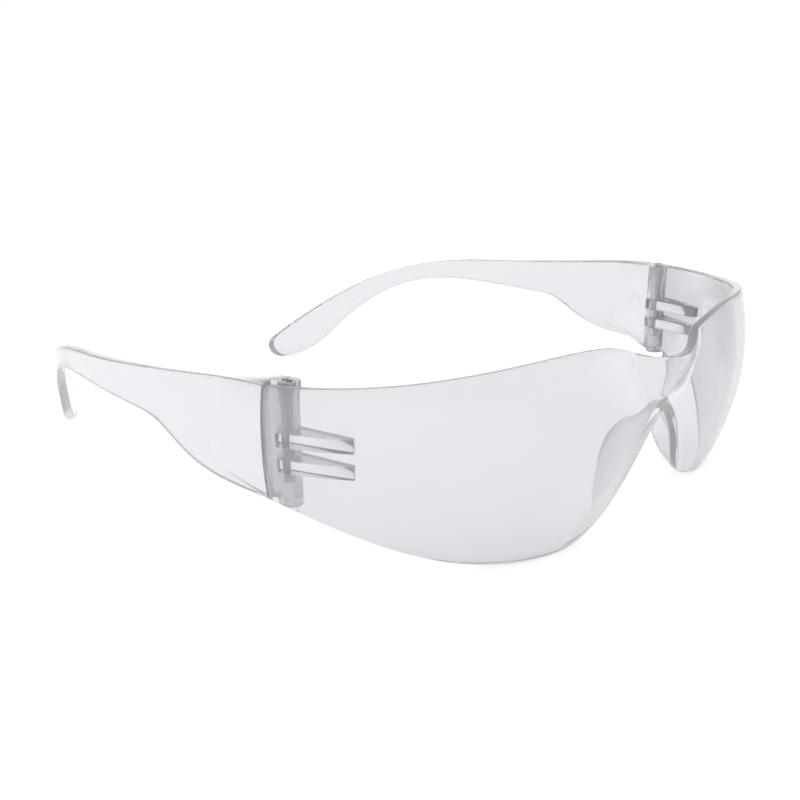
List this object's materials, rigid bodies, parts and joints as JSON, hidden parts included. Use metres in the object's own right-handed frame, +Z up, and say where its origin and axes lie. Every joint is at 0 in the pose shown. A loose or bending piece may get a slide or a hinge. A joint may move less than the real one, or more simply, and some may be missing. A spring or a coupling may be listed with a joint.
{
  "type": "safety glasses",
  "caption": "Clear wrap-around safety glasses with a one-piece lens and two folding temples on screw hinges.",
  "frame": {"origin": "middle of the bounding box, on the plane that both lens lobes and both temple tips stand on", "axes": "+X towards the wearer's left, -Y forwards through the lens, +Y back along the temples, +Z up"},
  "size_m": [0.1472, 0.1662, 0.0415],
  "materials": {
    "clear_polycarbonate": "clear, gloss",
    "steel_screw": "satin"
  },
  "bodies": {
    "lens": {"lens": "clear_polycarbonate"},
    "temple_left": {"temple_left": "clear_polycarbonate", "hinge_screw_left": "steel_screw"},
    "temple_right": {"temple_right": "clear_polycarbonate", "hinge_screw_right": "steel_screw"}
  },
  "joints": [
    {"name": "hinge_left", "type": "hinge", "parent": "lens", "child": "temple_left", "pos_m": [0.0675, -0.04026, 0.03777], "axis": [0, -0.0166, 0.9999], "range_deg": [0, 72]},
    {"name": "hinge_right", "type": "hinge", "parent": "lens", "child": "temple_right", "pos_m": [-0.0675, -0.04026, 0.03777], "axis": [0, 0.0166, -0.9999], "range_deg": [0, 82]}
  ]
}
